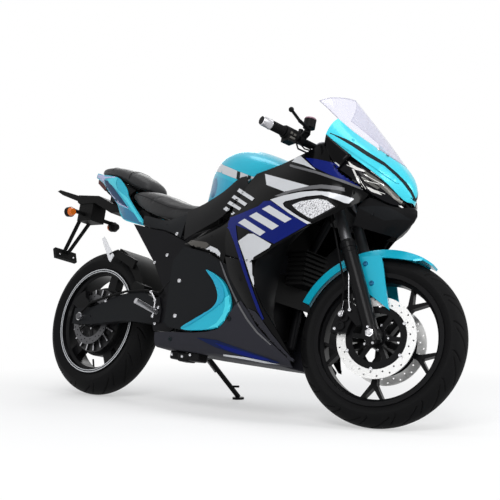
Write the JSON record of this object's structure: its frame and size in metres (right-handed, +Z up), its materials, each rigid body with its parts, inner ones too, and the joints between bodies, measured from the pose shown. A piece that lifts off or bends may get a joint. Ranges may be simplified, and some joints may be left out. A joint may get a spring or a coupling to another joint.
{
  "type": "electric motorcycle",
  "caption": "Faired electric sport motorcycle parked on its side stand, with spinning wheels, a steering fork, a hub motor in the rear wheel and a folding stand",
  "frame": {"origin": "on the ground under the middle of the bounding box of the parked motorcycle", "axes": "+X forward, +Y to the rider's left, +Z up"},
  "size_m": [2.1521, 0.7187, 1.168],
  "materials": {
    "frame_black": "satin",
    "swingarm_black": "satin",
    "shock_black": "satin",
    "battery_case": "matte",
    "controller_case": "matte",
    "cyan_paint": "gloss",
    "grey_satin": "satin",
    "black_panel": "gloss",
    "dark_trim": "satin",
    "grey_cover": "satin",
    "cyan_trim": "gloss",
    "black_gloss": "gloss",
    "charcoal": "satin",
    "clear_screen": "clear",
    "lamp_lens": "smoked",
    "black_inner": "matte",
    "dash_black": "matte",
    "seat_vinyl": "grained",
    "black_plastic": "matte",
    "red_lens": "clear",
    "amber_lens": "clear",
    "peg_alloy": "satin",
    "axle_steel": "brushed",
    "caliper_black": "satin",
    "clamp_black": "satin",
    "fork_tube": "polished",
    "fork_black": "satin",
    "bar_black": "satin",
    "grip_rubber": "matte",
    "lever_black": "satin",
    "hose_rubber": "matte",
    "tyre": "matte",
    "rim_black": "gloss",
    "disc_steel": "brushed",
    "motor_case": "satin",
    "disc_dark": "brushed",
    "stand_black": "satin"
  },
  "bodies": {
    "chassis": {"main_frame": "frame_black", "swingarm": "swingarm_black", "rear_shock": "shock_black", "battery_pack": "battery_case", "controller": "controller_case", "tank_cover": "cyan_paint", "spar_covers": "grey_satin", "flank_panels": "black_panel", "seat_sides": "dark_trim", "side_covers": "grey_cover", "swooshes": "cyan_trim", "fairing_sides": "black_gloss", "fairing_legs": "black_gloss", "belly_pan": "charcoal", "nose_cowl": "cyan_paint", "windscreen": "clear_screen", "headlights": "lamp_lens", "chin_panel": "black_panel", "inner_panels": "black_inner", "instrument_panel": "dash_black", "rider_seat": "seat_vinyl", "pillion_seat": "seat_vinyl", "tail_panels": "cyan_paint", "tail_trims": "black_plastic", "tail_light": "red_lens", "rear_fender": "black_plastic", "plate_hanger": "black_plastic", "indicator_stalks": "black_plastic", "indicator_lenses": "amber_lens", "hugger": "black_plastic", "footrests": "peg_alloy", "rear_axle": "axle_steel", "rear_caliper": "caliper_black"},
    "fork": {"triple_clamps": "clamp_black", "fork_tubes": "fork_tube", "fork_lowers": "fork_black", "front_fender": "cyan_trim", "front_axle": "axle_steel", "front_calipers": "caliper_black", "handlebars": "bar_black", "grips": "grip_rubber", "levers": "lever_black", "switchgear": "black_plastic", "brake_reservoirs": "black_plastic", "brake_hoses": "hose_rubber"},
    "front_wheel": {"front_tyre": "tyre", "front_rim": "rim_black", "front_discs": "disc_steel"},
    "rear_wheel": {"rear_tyre": "tyre", "rear_rim": "rim_black", "hub_motor": "motor_case", "rear_disc": "disc_dark"},
    "side_stand": {"side_stand": "stand_black"}
  },
  "joints": [
    {"name": "steering", "type": "hinge", "parent": "chassis", "child": "fork", "pos_m": [0.51395, 0.00215, 0.80678], "axis": [-0.4046, 0.1946, 0.8936], "range_deg": [-34.3, 9.7]},
    {"name": "front_wheel_spin", "type": "hinge", "parent": "fork", "child": "front_wheel", "pos_m": [0.78796, -0.10437, 0.28257], "axis": [-0.1953, 0.9362, -0.2923], "continuous": true},
    {"name": "rear_wheel_spin", "type": "hinge", "parent": "chassis", "child": "rear_wheel", "pos_m": [-0.61125, -0.10711, 0.3084], "axis": [-0.0005, 0.977, -0.213], "continuous": true},
    {"name": "side_stand_fold", "type": "hinge", "parent": "chassis", "child": "side_stand", "pos_m": [-0.10153, -0.01728, 0.19341], "axis": [0.0014, 0.8236, 0.5671], "range_deg": [0, 98]}
  ]
}
